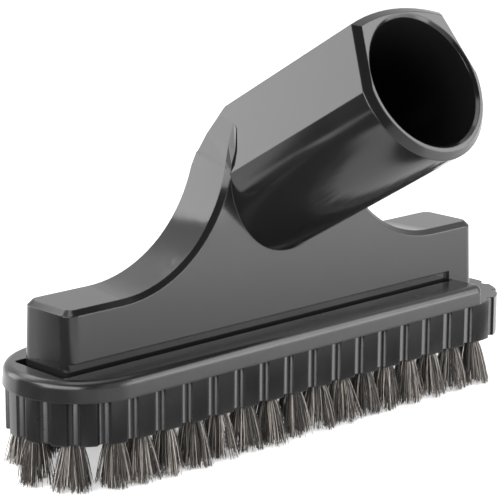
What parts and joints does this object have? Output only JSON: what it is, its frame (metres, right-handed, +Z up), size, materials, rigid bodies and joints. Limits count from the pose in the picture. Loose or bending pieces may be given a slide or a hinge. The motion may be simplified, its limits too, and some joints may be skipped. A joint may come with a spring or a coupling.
{
  "type": "vacuum dusting brush",
  "caption": "Flared suction nozzle with a tilted round wand socket and a slide-on tufted dusting brush held by rails under its base.",
  "frame": {"origin": "on the wand socket's axis, where its round wall starts just inside the mouth", "axes": "+X along the nozzle towards the brush's open end, +Y to the flat back, +Z up with the tuft tips lowest"},
  "size_m": [0.1742, 0.0883, 0.1193],
  "materials": {
    "nozzle": "black moulded plastic, glossy",
    "frame": "black moulded plastic, glossy",
    "wire": "plain flat wire",
    "bristle": "mixed dark and grey-brown bristle"
  },
  "bodies": {
    "nozzle": {"nozzle_body": "nozzle"},
    "brush": {"brush_frame": "frame", "tuft_anchors": "wire", "tuft_01": "bristle", "tuft_02": "bristle", "tuft_03": "bristle", "tuft_04": "bristle", "tuft_05": "bristle", "tuft_06": "bristle", "tuft_07": "bristle", "tuft_08": "bristle", "tuft_09": "bristle", "tuft_10": "bristle", "tuft_11": "bristle", "tuft_12": "bristle", "tuft_13": "bristle", "tuft_14": "bristle", "tuft_15": "bristle", "tuft_16": "bristle", "tuft_17": "bristle", "tuft_18": "bristle", "tuft_19": "bristle", "tuft_20": "bristle", "tuft_21": "bristle", "tuft_22": "bristle", "tuft_23": "bristle", "tuft_24": "bristle", "tuft_25": "bristle", "tuft_26": "bristle", "tuft_27": "bristle", "tuft_28": "bristle", "tuft_29": "bristle", "tuft_30": "bristle", "tuft_31": "bristle", "tuft_32": "bristle", "tuft_33": "bristle", "tuft_34": "bristle", "tuft_35": "bristle"}
  },
  "joints": [
    {"name": "brush_slide", "type": "slide", "parent": "nozzle", "child": "brush", "axis": [-1, 0, 0], "range_m": [0, 0.17]}
  ]
}
